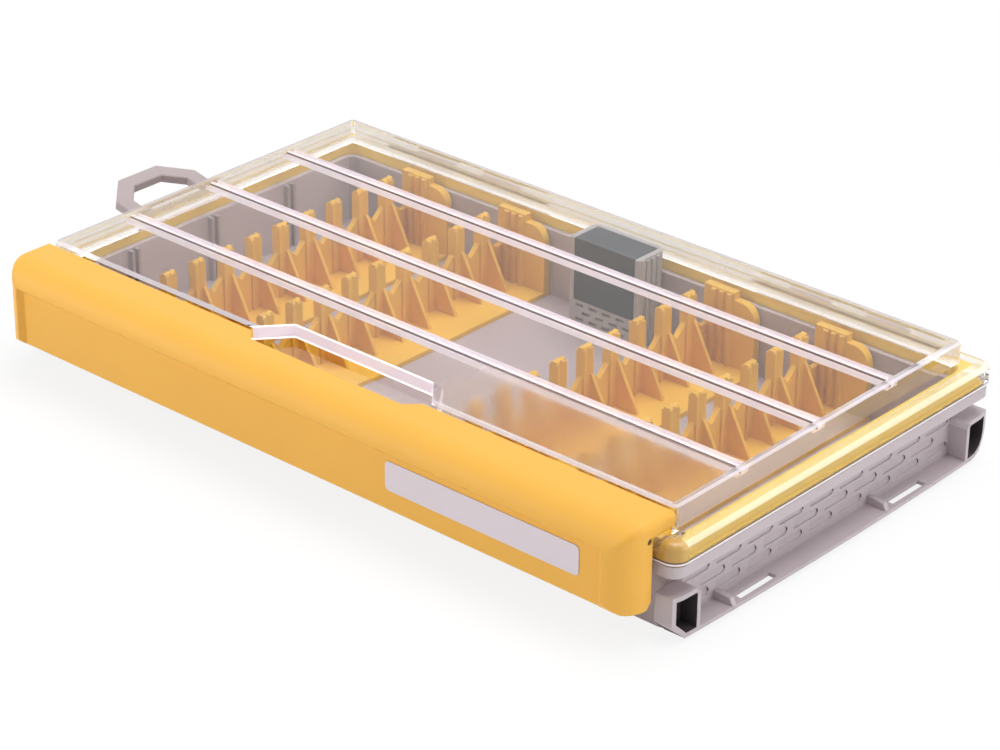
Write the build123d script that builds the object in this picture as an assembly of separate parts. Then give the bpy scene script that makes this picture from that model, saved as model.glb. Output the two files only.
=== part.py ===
from build123d import *
import math
import os

# Fishing jig box: a tray with a full-width front latch, a hinged clear lid, a seal ring,
# jig racks, a moisture block and a folding carry loop.
# Millimetres. +X runs to the right end, +Y to the hinged back, +Z up.
# The origin is the centre of the tray's flat underside.

# Heights
case_height = 40.0       # underside to the top of the lid
floor_thick = 2.0        # tray floor
panel_rise = 7.0         # raised lid panel above the lid flange
skirt_depth = 6.5        # lid skirt, flange top to its lower edge
rim_gap = 0.6            # closed lid skirt above the tray rim
rim_depth = 5.4          # tray rim band, top to bottom
groove_depth = 1.4       # seal groove in the rim
bay_drop = 3.0           # latch bay floor below the lid flange
seal_gap = 0.1           # uncompressed play between the seal and the lid
seal_side = 0.2          # play at the seal's sides in its groove
seal_step = 0.8          # the seal is narrower above the rim by this
upstand_rise = 0.3       # tray wall above the rim, inside the seal

# Tray plan
tray_len = 257.0         # inside length
tray_wid = 137.0         # inside width
wall = 2.0               # tray wall
groove_width = 5.3       # seal groove
rim_lip = 1.7            # outer lip of the rim
tray_corner = 3.0        # inside corner radius in plan
rim_corner = 4.5         # outside corner radius of the rim

# Lid
lid_wall = 2.0           # panel and wall thickness
skirt_wall = 1.7         # skirt thickness
bay_plate = 1.8          # thickness of the latch bay floor
lid_overhang = 0.5       # skirt beyond the tray rim
panel_inset = 0.5        # panel ends inside the tray wall's outer face
panel_back_out = 0.4     # panel back beyond the tray wall's outer face
rail_width = 2.0         # each divider rail under the panel
rail_slot = 1.5          # slot between the two rails of a pair
rail_drop = 1.8          # depth of the rails
divider_rows = (-36.5, 0.0, 36.5)   # Y of the divider slots
notch_depth = 10.0       # finger notch in the panel's front edge
notch_front = 76.0       # notch width at the front
notch_rear = 58.0        # notch width at its rear wall
notch_sink = 1.0         # notch floor below the lid flange
notch_plate = 1.6        # thickness of the notch floor

# Latch
pin_ahead = 4.1          # latch pin ahead of the tray rim
pin_above = 1.3          # latch pin above the lid flange
latch_reach = 11.2       # pin to the latch's rear edge
latch_depth = 9.9        # pin to the latch's front face
latch_len = 262.0
latch_high = 27.5        # top of the lid down to the latch's lower edge
latch_wall = 2.2
latch_crown = 10.3       # radius over the top front edge
latch_foot_round = 3.2   # radius under the front face
latch_end_round = 9.5    # plan radius of the front corners
latch_edge = 2.4         # radius of the end edges
lip_round = 1.8          # top radius of the rear edge
cap_round = 4.4          # lower rear radius of the end caps
cap_gap = 2.4            # end cap ahead of the lid skirt
latch_recess = 2.0       # depth of the front recess
recess_drop = 9.0        # top of the lid down to the recess's upper edge
recess_left = -122.0
recess_right = 119.5
scoop_depth = 5.6        # scoop in the rear edge
pin_radius = 1.0         # latch and loop pins
pin_clear = 0.05         # running clearance on a pin
label_len = 74.5
label_high = 9.8
label_thick = 0.25
label_mid = 75.0         # X of the label's centre
label_low = 6.8          # label's lower edge above the latch's
rib_pitch = 52.0         # catch ribs inside the latch

# Hinge
hinge_behind = 3.3       # hinge axis behind the rim
hinge_rise = 2.5         # hinge axis above the skirt's lower edge
hinge_first = 44.5       # start of each knuckle group, from the middle
lid_knuckle = 13.6       # length of each lid knuckle
tray_knuckle = 16.8      # length of each tray knuckle
knuckle_count = 5        # knuckles in a group, the lid's first and last
knuckle_radius = 2.6
knuckle_play = 0.4       # end gap between knuckles
hinge_pin_radius = 1.1

# Tray ends
ledge_bottom = 1.5       # height of the end ledge's underside
ledge_thick = 1.2
end_reach = 6.6          # corner tube mouths beyond the wall
end_bow = 1.3            # extra reach at the middle of an end
end_cut_deep = 0.9       # oblique corner of an end, along the box
end_cut_wide = 4.0       # the same, across the box
tube_drop = 4.5          # tube top below the rim
tube_width = 11.6
tube_wall = 1.5
tube_chamfer = 5.0       # cut lower edge of the front tubes
tube_round = 2.4         # rounded upper edge towards the middle
tube_arc = 9.0           # rounded lower edge of the back tubes
slot_len = 17.0
slot_wide = 3.0
slot_rows = (-37.3, 37.3)   # Y of the ledge slots
slot_bar = 1.5           # bar outside each slot
brick_len = 11.4
brick_high = 2.8
brick_corner = 0.9       # cut corners at the back end of each pocket
brick_pitch = 14.8
brick_row_pitch = 4.2
brick_drop = 1.05        # middle of the top row below the tube top
brick_rows = 3
brick_columns = 9
brick_deep = 0.5

# Jig racks
rack_pitch = 44.8
rack_first = -99.8       # X of the first comb wall
rack_bays = (0, 1, 3, 4)    # the middle bay stays empty
rack_width = 20.0        # comb wall to the free edge of the plate
rack_plate = 1.6
rack_play = 0.3          # rack ends to the tray walls
comb_thick = 2.0
comb_drop = 8.0          # tine tops below the lid's underside
shoulder_drop = 10.0     # tine top to where the tine starts to widen
valley_drop = 14.0       # tine top to the bottom of the gaps
crown_notch = 0.9        # depth of the two notches in a tine's top
tine_pitch = 12.86
tine_first = -59.9
tine_count = 10
tine_wide = 4.6
tine_deep = 3.4
flute = 0.7              # depth of the groove down each tine
gusset_reach = 10.5
gusset_thick = 1.2
tab_thick = 3.0
tab_round = 6.0
tab_tier = 11.4          # width of a tab's taller, ridged part
tab_step = 2.5           # height of the step beside it
ridge_first = 3.4        # X of a tab's first ridge
ridge_pitch = 3.2
ridge_wide = 2.4
ridge_deep = 1.2

# Moisture block
block_len = 31.0
block_deep = 13.6
block_gap = 3.0          # top of the block below the lid's underside
block_round = 2.5
side_rib = 0.6           # height of the upright ribs on the block's sides
cover_thick = 2.2
block_wall = 1.6
pack_play = 0.4
block_label_thick = 0.3
block_label_high = 22.0  # top of the block down to the label's lower edge
vent_len = 3.4
vent_high = 1.0
vent_pitch = 5.8
vent_rows = 3

# Carry loop
loop_width = 37.0
loop_reach = 25.5        # hinge axis to the outer edge
loop_bar = 5.8
loop_thick = 3.0
loop_corner = 9.8
loop_tilt = 12.0         # the loop rests a little above level
loop_axis_out = 3.5      # loop hinge beyond the tray rim
loop_drop = 1.4          # loop hinge below the tray rim
loop_barrel = 2.2
barrel_len = 24.0
ear_thick = 3.0
ear_play = 0.4

# Levels and places that follow from the sizes above
flange_top = case_height - panel_rise
skirt_bottom = flange_top - skirt_depth
rim_top = skirt_bottom - rim_gap
rim_bottom = rim_top - rim_depth
groove_floor = rim_top - groove_depth
bay_top = flange_top - bay_drop
bay_under = bay_top - bay_plate
seal_top = flange_top - lid_wall - seal_gap
seal_front_top = bay_under - seal_gap
notch_floor = flange_top - notch_sink
upstand_top = rim_top + upstand_rise
tube_top = rim_bottom - tube_drop
latch_bottom = case_height - latch_high
recess_top = case_height - recess_drop
hinge_height = skirt_bottom + hinge_rise
loop_height = rim_top - loop_drop
comb_top = case_height - lid_wall - comb_drop
shoulder_height = comb_top - shoulder_drop
valley_height = comb_top - valley_drop
block_top = case_height - lid_wall - block_gap
block_label_low = block_top - block_label_high
inner_x = tray_len / 2
inner_y = tray_wid / 2
wall_x = inner_x + wall
wall_y = inner_y + wall
rim_x = wall_x + groove_width + rim_lip
rim_y = wall_y + groove_width + rim_lip
lid_x = rim_x + lid_overhang
lid_y = rim_y + lid_overhang
panel_x = wall_x - panel_inset
panel_back = wall_y + panel_back_out
latch_pin_y = -(rim_y + pin_ahead)
latch_pin_z = flange_top + pin_above
latch_rear = latch_pin_y + latch_reach
latch_front = latch_pin_y - latch_depth
lip_sweep = math.hypot(latch_reach - lip_round, case_height - lip_round - latch_pin_z) + lip_round
panel_front = latch_pin_y + lip_sweep + 0.28
cap_rear = -(lid_y + cap_gap)
hinge_y = rim_y + hinge_behind
loop_x = -(rim_x + loop_axis_out)
plate_top = floor_thick + rack_plate


def slab(x0, x1, y0, y1, z0, z1, radius=0.0):
    """An upright block between two corners, with rounded corners in plan."""
    length = x1 - x0
    width = y1 - y0
    plan = RectangleRounded(length, width, radius) if radius > 0 else Rectangle(length, width)
    return Pos((x0 + x1) / 2, (y0 + y1) / 2, z0) * extrude(plan, z1 - z0)


def frame(outer, inner, z0, z1, outer_radius, inner_radius):
    """A rectangular ring centred on the origin, from its outer and inner half sizes."""
    outside = slab(-outer[0], outer[0], -outer[1], outer[1], z0, z1, outer_radius)
    return outside - slab(-inner[0], inner[0], -inner[1], inner[1], z0, z1, inner_radius)


def bar_x(points, x0, x1, radii=None):
    """A solid with a (Y, Z) outline that runs along X; radii rounds chosen corners."""
    outline = Polyline(*[(y, z) for y, z in points], close=True)
    face = make_face(outline)
    for index, radius in (radii or {}).items():
        y, z = points[index]
        corner = face.vertices().sort_by_distance((y, z, 0))[0]
        face = fillet(corner, radius)
    placed = Plane(origin=(x0, 0, 0), x_dir=(0, 1, 0), z_dir=(1, 0, 0)) * face
    return extrude(placed, x1 - x0, dir=(1, 0, 0))


def bar_y(points, y0, y1, radii=None):
    """A solid with an (X, Z) outline that runs along Y; radii rounds chosen corners."""
    face = make_face(Polyline(*[(x, z) for x, z in points], close=True))
    for index, radius in (radii or {}).items():
        x, z = points[index]
        corner = face.vertices().sort_by_distance((x, z, 0))[0]
        face = fillet(corner, radius)
    placed = Plane(origin=(0, y0, 0), x_dir=(1, 0, 0), z_dir=(0, -1, 0)) * face
    return extrude(placed, y1 - y0, dir=(0, 1, 0))


def upright(points, z0, z1):
    """A solid with an (X, Y) outline that stands between two heights."""
    face = make_face(Polyline(*points, close=True))
    return Pos(0, 0, z0) * extrude(face, z1 - z0)


def rod_x(radius, x0, x1, y, z):
    """A round rod along X."""
    return Pos((x0 + x1) / 2, y, z) * Rot(0, 90, 0) * Cylinder(radius, x1 - x0)


def rod_y(radius, y0, y1, x, z):
    """A round rod along Y."""
    return Pos(x, (y0 + y1) / 2, z) * Rot(90, 0, 0) * Cylinder(radius, y1 - y0)


def knuckle_spans(of_lid):
    """X limits of the lid's or the tray's knuckles in both hinge groups."""
    spans = []
    for side in (-1, 1):
        x = hinge_first
        for index in range(knuckle_count):
            length = tray_knuckle if index % 2 else lid_knuckle
            if (index % 2 == 0) == of_lid:
                ends = (side * (x + knuckle_play / 2), side * (x + length - knuckle_play / 2))
                spans.append(tuple(sorted(ends)))
            x += length
    return spans


def hinge_last():
    """Outer end of a knuckle group, from the middle."""
    pairs = knuckle_count // 2
    return hinge_first + pairs * (lid_knuckle + tray_knuckle) + lid_knuckle


def end_plan(z0, z1):
    """The bowed plan of the right end, as a block from inside the wall to the bow."""
    tip = wall_x + end_reach
    root = wall_x - 0.6
    cut = tip - end_cut_deep
    shoulder = rim_y - end_cut_wide
    sides = Polyline((tip, shoulder), (cut, rim_y), (root, rim_y), (root, -rim_y), (cut, -rim_y), (tip, -shoulder))
    bow = ThreePointArc((tip, -shoulder), (tip + end_bow, 0), (tip, shoulder))
    return Pos(0, 0, z0) * extrude(make_face(sides.edges() + [bow]), z1 - z0)


def tube_bar(side, inset, x0, x1):
    """A bar with the outline of a corner tube; side is -1 for the front and 1 for the back."""
    outer = rim_y - 0.2 - inset
    inner = rim_y - 0.2 - tube_width + inset
    low = ledge_bottom + inset
    high = tube_top - inset
    if side < 0:
        cut = tube_chamfer - inset * (2 - math.sqrt(2))
        points = [(-inner, low), (-inner, high), (-outer, high), (-outer, low + cut), (-outer + cut, low)]
        return bar_x(points, x0, x1, {1: tube_round - inset})
    points = [(inner, low), (inner, high), (outer, high), (outer, low)]
    return bar_x(points, x0, x1, {1: tube_round - inset, 3: tube_arc - inset})


def tray_end():
    """The ledge, corner tubes, slots and cross ribs of the right end."""
    ledge_top = ledge_bottom + ledge_thick
    outer = rim_y - 0.2
    x0 = wall_x - 0.6
    x1 = wall_x + end_reach + end_bow + 1
    ledge = slab(x0, x1, -outer + tube_chamfer, outer - tube_arc, ledge_bottom, ledge_top)
    end = ledge + [tube_bar(-1, 0, x0, x1), tube_bar(1, 0, x0, x1)]
    end = end & end_plan(ledge_bottom - 1, tube_top + 1)
    holes = [tube_bar(side, tube_wall, wall_x + 0.8, x1 + 1) for side in (-1, 1)]
    slot_outer = wall_x + end_reach + end_bow * 0.7 - slot_bar
    slot_inner = slot_outer - slot_wide
    ribs = []
    for y in slot_rows:
        low = y - slot_len / 2
        high = y + slot_len / 2
        holes.append(slab(slot_inner, slot_outer, low, high, ledge_bottom - 1, ledge_top + 1))
        rib_low = low - 5.4
        foot = ledge_top - 0.5
        side = [(x0, foot), (x0, ledge_top + 2.8), (slot_outer, ledge_top + 2.2), (slot_outer + slot_bar, foot)]
        ribs.append(bar_y(side, rib_low, rib_low + 2.0))
    return end - holes + ribs


def brick_relief():
    """Cutter for the staggered brick pockets in the right end wall."""
    half = brick_len / 2
    high = brick_high / 2
    cut = brick_corner
    bricks = []
    for row in range(brick_rows):
        z = tube_top - brick_drop - row * brick_row_pitch
        shift = brick_pitch / 2 if row % 2 else 0.0
        count = brick_columns if row % 2 == 0 else brick_columns - 1
        for column in range(count):
            y = (column - (brick_columns - 1) / 2) * brick_pitch + shift
            outline = [(y - half, z - high), (y - half, z + high), (y + half - cut, z + high)]
            outline += [(y + half, z + high - cut), (y + half, z - high + cut), (y + half - cut, z - high)]
            bricks.append(bar_x(outline, wall_x - brick_deep, wall_x + 1))
    return bricks


def wall_guides():
    """Pairs of upright ribs on the inside of the right end wall that hold a long divider."""
    guides = []
    for y in divider_rows:
        for side in (-1, 1):
            mid = y + side * (rail_slot + 1.2) / 2
            guides.append(slab(inner_x - 2.0, inner_x + 0.5, mid - 0.6, mid + 0.6, floor_thick - 0.5, rim_bottom + 5.0))
    return guides


def make_base_tray():
    """The tray: walls, floor, sealing rim, ends, inside guides and hinge knuckles."""
    body = slab(-wall_x, wall_x, -wall_y, wall_y, 0, upstand_top, tray_corner + wall)
    body += slab(-rim_x, rim_x, -rim_y, rim_y, rim_bottom, rim_top, rim_corner)
    groove = (rim_x - rim_lip, rim_y - rim_lip)
    tray = (wall_x, wall_y)
    radii = (rim_corner - rim_lip, tray_corner + wall)
    below = frame(groove, tray, rim_bottom - 1, groove_floor - wall, *radii)
    above = frame(groove, tray, groove_floor, rim_top + 1, *radii)
    body -= [below, above]
    right = tray_end()
    gap = hinge_y - knuckle_radius
    web = [(rim_y - 0.5, rim_bottom), (rim_y - 0.5, rim_top - 0.4), (gap, rim_top - 0.4), (gap, hinge_height)]
    web += [(hinge_y, hinge_height), (hinge_y + knuckle_radius * 0.8, hinge_height - knuckle_radius * 0.6)]
    web += [(rim_y + 1.5, rim_bottom)]
    added = [right, mirror(right, Plane.YZ)]
    bores = []
    for x0, x1 in knuckle_spans(False):
        added.append(bar_x(web, x0, x1))
        added.append(rod_x(knuckle_radius, x0, x1, hinge_y, hinge_height))
        bores.append(rod_x(hinge_pin_radius + 0.02, x0 - 1, x1 + 1, hinge_y, hinge_height))
    ear_low = loop_height - loop_barrel
    ear_high = min(loop_height + loop_barrel, skirt_bottom - 0.4)
    for side in (-1, 1):
        near = side * (barrel_len / 2 + ear_play)
        far = side * (barrel_len / 2 + ear_play + ear_thick)
        y0, y1 = sorted((near, far))
        added.append(slab(loop_x, -rim_x + 0.5, y0, y1, ear_low, ear_high))
        added.append(rod_y(loop_barrel, y0, y1, loop_x, loop_height))
        bores.append(rod_y(pin_radius + 0.02, y0 - 0.2, y1 + 0.2, loop_x, loop_height))
    body += added
    hollow = slab(-inner_x, inner_x, -inner_y, inner_y, floor_thick, upstand_top + 1, tray_corner)
    body -= [hollow] + bores
    bricks = brick_relief()
    body -= bricks + [mirror(brick, Plane.YZ) for brick in bricks]
    guides = wall_guides()
    body += guides + [mirror(guide, Plane.YZ) for guide in guides]
    return body


def make_lid():
    """The clear lid: flange, skirt, raised panel, rails, finger notch, latch ears and knuckles."""
    block = slab(-lid_x, lid_x, -lid_y, lid_y, skirt_bottom, flange_top, rim_corner + lid_overhang)
    rounded = block.faces().sort_by(Axis.Z)[-1].edges()
    block = fillet(rounded, 2.4)
    inside_x = lid_x - skirt_wall
    inside_y = lid_y - skirt_wall
    plate_under = flange_top - lid_wall
    lid = block - slab(-inside_x, inside_x, -inside_y, inside_y, skirt_bottom - 1, plate_under, rim_corner - 1)
    panel = slab(-panel_x, panel_x, panel_front, panel_back, flange_top - 1, case_height, 2.0)
    lid += chamfer(panel.faces().sort_by(Axis.Z)[-1].edges(), 0.7)
    bay_x = latch_len / 2 + 0.4
    lid -= slab(-bay_x, bay_x, -lid_y - 1, panel_front, bay_top, flange_top + 1)
    hollow_x = panel_x - lid_wall
    lid -= slab(-hollow_x, hollow_x, panel_front + lid_wall, panel_back - lid_wall, skirt_bottom, case_height - lid_wall, 1.0)
    lid += slab(-bay_x, bay_x, -lid_y + 0.5, panel_front + lid_wall, bay_under, bay_top)
    lid += slab(-hollow_x - 0.5, hollow_x + 0.5, panel_front, panel_front + lid_wall, bay_under, flange_top)
    lid = lid + notch_shell() - notch_cut()
    added = []
    bores = []
    top = case_height - lid_wall
    for y in divider_rows:
        for side in (-1, 1):
            mid = y + side * (rail_slot + rail_width) / 2
            y0 = mid - rail_width / 2
            added.append(slab(-hollow_x - 0.3, hollow_x + 0.3, y0, y0 + rail_width, top - rail_drop, top + 0.3))
    for side in (-1, 1):
        added.append(latch_ear(side))
        inside = side * (latch_len / 2 - latch_wall - 4.0)
        outside = side * (latch_len / 2)
        bores.append(rod_x(pin_radius + pin_clear, *sorted((inside, outside)), latch_pin_y, latch_pin_z))
    web = [(lid_y - 0.8, skirt_bottom + 0.1), (lid_y - 0.8, flange_top - 1.6), (lid_y + 0.6, flange_top - 1.6)]
    web += [(hinge_y + 1.2, hinge_height + 2.2), (hinge_y, hinge_height - 2.2)]
    for x0, x1 in knuckle_spans(True):
        added.append(bar_x(web, x0, x1))
        added.append(rod_x(knuckle_radius, x0, x1, hinge_y, hinge_height))
        bores.append(rod_x(hinge_pin_radius + pin_clear, x0 - 1, x1 + 1, hinge_y, hinge_height))
    return lid + added - bores


def notch_outline(grow, ahead):
    """Plan of the finger notch, widened by grow and run forward by ahead."""
    rear = panel_front + notch_depth + grow
    front = panel_front - ahead
    return [(-notch_front / 2 - grow, front), (notch_front / 2 + grow, front),
            (notch_rear / 2 + grow, rear), (-notch_rear / 2 - grow, rear)]


def notch_shell():
    """The walls and floor round the finger notch."""
    return upright(notch_outline(lid_wall, 0.0), notch_floor - notch_plate, case_height)


def notch_cut():
    """The open space of the finger notch."""
    return upright(notch_outline(0.0, 0.5), notch_floor, case_height + 1)


def latch_ear(side):
    """An ear on the lid that carries one latch pin."""
    radius = pin_radius + 1.4
    out = latch_len / 2 - latch_wall - 0.3
    x0, x1 = sorted((side * (out - 2.8), side * out))
    foot = [(-lid_y + 0.6, bay_under + 0.4), (latch_pin_y - radius * 0.3, latch_pin_z - radius * 0.9)]
    foot += [(latch_pin_y + radius, latch_pin_z), (-lid_y + 5.5, bay_top + 0.4), (-lid_y + 5.5, bay_under + 0.4)]
    return bar_x(foot, x0, x1) + rod_x(radius, x0, x1, latch_pin_y, latch_pin_z)


def corner_cutter(y, z, run_y, run_z):
    """What a quarter round takes off a sharp corner at (y, z), all along the latch."""
    half = latch_len / 2 + 1
    sliver = 0.01
    y0, y1 = sorted((y - sliver * math.copysign(1, run_y), y + run_y))
    z0, z1 = sorted((z - sliver * math.copysign(1, run_z), z + run_z))
    return slab(-half, half, y0, y1, z0, z1) - rod_x(abs(run_y), -half - 1, half + 1, y + run_y, z + run_z)


def latch_plan(inset, z0, z1):
    """The latch's plan with its rounded front corners, moved in by inset."""
    half = latch_len / 2 - inset
    front = latch_front + inset
    block = slab(-half, half, front, front + 40, z0, z1)
    corners = block.edges().filter_by(Axis.Z).sort_by(Axis.Y)[:2]
    return fillet(corners, latch_end_round - inset)


def make_front_latch():
    """The one-piece latch: crowned cover, end caps, front recess, scoop, catch rail and ribs."""
    half = latch_len / 2
    low = latch_bottom
    cap_foot = flange_top + 0.6
    outline = [(latch_rear, case_height), (latch_front, case_height), (latch_front, low)]
    outline += [(cap_rear - 2.0, low), (cap_rear, low + 2.0), (cap_rear, cap_foot), (latch_rear, cap_foot)]
    block = bar_x(outline, -half, half, {1: latch_crown, 2: latch_foot_round})
    block &= latch_plan(0.0, low - 1, case_height + 1)
    rounded = []
    for side in (-1, 1):
        end = block.faces().filter_by(lambda face: abs(face.center().X * side - half) < 0.01)
        rounded += [edge for edge in end.edges() if edge.center().Z > flange_top and edge.center().Y < latch_rear - 0.1]
    block = fillet(rounded, latch_edge)
    lip = corner_cutter(latch_rear, case_height, -lip_round, -lip_round)
    heel = corner_cutter(latch_rear, cap_foot, -cap_round, cap_round)
    block -= [lip, heel]
    inside = case_height - latch_wall
    front = latch_front + latch_wall
    shell = [(0, inside), (front, inside), (front, low - 1), (0, low - 1)]
    behind = front + latch_recess
    bevel = recess_top + latch_wall * (math.sqrt(2) - 1)
    backing = [(1, case_height), (front - 1, case_height), (front - 1, bevel + latch_recess + 1)]
    backing += [(behind, bevel), (behind, low - 2), (1, low - 2)]
    ends = (-half + latch_wall, half - latch_wall)
    hollow = bar_x(shell, *ends, {1: latch_crown - latch_wall}) & bar_x(backing, *ends)
    hollow &= latch_plan(latch_wall, low - 3, case_height)
    scoop_front = notch_front / 2 + 0.5
    scoop = [(-scoop_front, latch_rear + 1), (scoop_front, latch_rear + 1)]
    scoop += [(scoop_front - 7.0, latch_rear - scoop_depth), (-scoop_front + 7.0, latch_rear - scoop_depth)]
    latch = block - [hollow, latch_recess_cut(), upright(scoop, cap_foot, case_height + 1)]
    rail_tip = -rim_y - 0.3
    rail_top = rim_bottom - 0.2
    face = front + latch_recess - 0.4
    added = [slab(-half + 6, half - 6, face, rail_tip, rail_top - 1.8, rail_top)]
    for index in range(-2, 3):
        x = index * rib_pitch
        gusset = [(face, low + 1), (face, rail_top - 1), (rail_tip - 1.5, rail_top - 1)]
        added.append(bar_x(gusset, x - 0.9, x + 0.9))
    bores = []
    for side in (-1, 1):
        x0, x1 = sorted((side * (half - latch_wall - 1), side * (half + 1)))
        bores.append(rod_x(pin_radius + 0.02, x0, x1, latch_pin_y, latch_pin_z))
    return latch + added - bores


def latch_recess_cut():
    """Cutter for the long front recess, bevelled at its ends and top."""
    face = latch_front + latch_recess
    out = latch_front - 1.0
    flare = latch_recess + 1.0
    plan = [(recess_left, face), (recess_left - flare, out), (recess_right + flare, out), (recess_right, face)]
    side = [(face, latch_bottom - 1), (face, recess_top), (out, recess_top + flare), (out, latch_bottom - 1)]
    return upright(plan, latch_bottom - 1, recess_top + flare) & bar_x(side, recess_left - flare, recess_right + flare)


def make_latch_label():
    """The write-on label in the latch's recess."""
    face = latch_front + latch_recess
    mid = latch_bottom + label_low + label_high / 2
    blank = Pos(label_mid, face, mid) * Rot(90, 0, 0) * extrude(RectangleRounded(label_len, label_high, 1.6), label_thick)
    return blank


def make_latch_pin(side):
    """A short pin through an end cap of the latch into the lid's ear."""
    inside = side * (latch_len / 2 - latch_wall - 2.9)
    outside = side * (latch_len / 2 - 0.5)
    x0, x1 = sorted((inside, outside))
    return rod_x(pin_radius, x0, x1, latch_pin_y, latch_pin_z)


def make_lid_gasket():
    """The tall seal ring: seated in the rim's groove, stepped down under the latch bay."""
    outer = (rim_x - rim_lip - seal_side, rim_y - rim_lip - seal_side)
    inner = (wall_x + seal_side, wall_y + seal_side)
    upper = (outer[0] - seal_step, outer[1] - seal_step)
    radii = (rim_corner - rim_lip - seal_side, tray_corner + wall + seal_side)
    foot = frame(outer, inner, groove_floor, rim_top + 0.4, *radii)
    ring = frame(upper, inner, rim_top, seal_top, radii[0], radii[1])
    ring = chamfer(ring.faces().sort_by(Axis.Z)[-1].edges(), 0.5)
    bay_x = latch_len / 2 + 1.0
    step = slab(-bay_x, bay_x, -rim_y, panel_front + lid_wall + 0.4, seal_front_top, seal_top + 1)
    return foot + ring - step


def make_hinge_pin(side):
    """The wire pin through one group of knuckles."""
    x0, x1 = sorted((side * (hinge_first + 0.6), side * (hinge_last() - 0.6)))
    return rod_x(hinge_pin_radius, x0, x1, hinge_y, hinge_height)


def tine_centres():
    """Y of every tine on a rack."""
    return [tine_first + index * tine_pitch for index in range(tine_count)]


def make_jig_rack(wall_at):
    """A jig rack: comb wall with fluted tines, gussets, plate and end tabs."""
    end = inner_y - rack_play
    back = comb_thick / 2
    half = tine_wide / 2
    comb = [(-end, floor_thick), (-end, valley_height)]
    for y in tine_centres():
        comb += [(y - tine_pitch / 2, valley_height), (y - half, shoulder_height), (y - half, comb_top)]
        comb += [(y - half * 0.38, comb_top - crown_notch), (y, comb_top), (y + half * 0.38, comb_top - crown_notch)]
        comb += [(y + half, comb_top), (y + half, shoulder_height)]
    comb += [(tine_centres()[-1] + tine_pitch / 2, valley_height), (end, valley_height), (end, floor_thick)]
    rack = bar_x(comb, -back, back)
    added = [slab(-tine_deep / 2, rack_width, -end, end, floor_thick, plate_top)]
    for y in tine_centres():
        lobe = [(-tine_deep / 2, y - half), (tine_deep / 2, y - half), (tine_deep / 2 - flute, y)]
        lobe += [(tine_deep / 2, y + half), (-tine_deep / 2, y + half)]
        added.append(upright(lobe, plate_top - 0.4, comb_top - crown_notch))
        gusset = [(0, plate_top - 0.4), (0, shoulder_height), (tine_deep / 2, shoulder_height)]
        gusset += [(gusset_reach, plate_top), (gusset_reach, plate_top - 0.4)]
        added.append(bar_y(gusset, y + half - gusset_thick, y + half - 0.05))
    for side in (-1, 1):
        y0, y1 = sorted((side * end, side * (end - tab_thick)))
        top = comb_top if side > 0 else bay_under - 0.5
        low = top - tab_step
        tab = [(-back, floor_thick), (-back, top), (tab_tier, top), (tab_tier, low), (rack_width, low)]
        added.append(bar_y(tab + [(rack_width, floor_thick)], y0, y1, {4: tab_round}))
        face = side * (end - tab_thick)
        for index in range(3 if side > 0 else 0):
            x = ridge_first + index * ridge_pitch
            ridge = [(x - ridge_wide / 2, face + side * 0.4), (x + ridge_wide / 2, face + side * 0.4)]
            ridge += [(x + ridge_wide / 4, face - side * ridge_deep), (x - ridge_wide / 4, face - side * ridge_deep)]
            added.append(upright(ridge, floor_thick, top - 0.5))
    return Pos(wall_at, 0, 0) * (rack + added)


def block_limits():
    """X, Y and Z limits of the moisture block."""
    back = inner_y - 0.3
    return -block_len / 2, block_len / 2, back - block_deep, back, floor_thick, block_top


def make_block_housing():
    """The open-fronted case of the moisture block."""
    x0, x1, y0, y1, z0, z1 = block_limits()
    body = slab(x0 + side_rib, x1 - side_rib, y0 + cover_thick, y1, z0, z1)
    body = fillet(body.edges().filter_by(Axis.Z).sort_by(Axis.Y)[-2:], block_round)
    for index in range(3):
        y = y0 + cover_thick + 1.2 + index * 2.7
        body += slab(x0, x1, y, y + 1.2, z0 + 0.8, z1 - 0.8)
    inner = slab(x0 + block_wall, x1 - block_wall, y0, y1 - block_wall, z0 + block_wall, z1 - block_wall)
    return body - inner


def make_block_cover():
    """The vented front of the moisture block."""
    x0, x1, y0, y1, z0, z1 = block_limits()
    cover = slab(x0, x1, y0, y0 + cover_thick, z0, z1)
    uprights = cover.edges().filter_by(Axis.Z).sort_by(Axis.Y)[:2]
    cover = fillet(uprights, cover_thick - 0.3)
    vents = []
    for row in range(vent_rows):
        z = z0 + 3.4 + row * 2.6
        shift = vent_pitch / 4 if row % 2 else -vent_pitch / 4
        for column in range(4):
            x = (column - 1.5) * vent_pitch + shift
            vents.append(slab(x - vent_len / 2, x + vent_len / 2, y0 - 1, y0 + cover_thick + 1, z, z + vent_high))
    return cover - vents


def make_block_label():
    """The label over the front and top of the moisture block."""
    x0, x1, y0, y1, z0, z1 = block_limits()
    thick = block_label_thick
    left = x0 + 3.0
    right = x1 - 2.6
    wrap = [(y0, block_label_low), (y0 - thick, block_label_low), (y0 - thick, z1 + thick)]
    wrap += [(y1 - 2.0, z1 + thick), (y1 - 2.0, z1), (y0, z1)]
    return bar_x(wrap, left, right)


def make_desiccant_pack():
    """The drying pack inside the moisture block."""
    x0, x1, y0, y1, z0, z1 = block_limits()
    gap = block_wall + pack_play
    return slab(x0 + gap, x1 - gap, y0 + cover_thick + 0.2, y1 - gap, z0 + block_wall, z1 - gap, 1.0)


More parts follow.
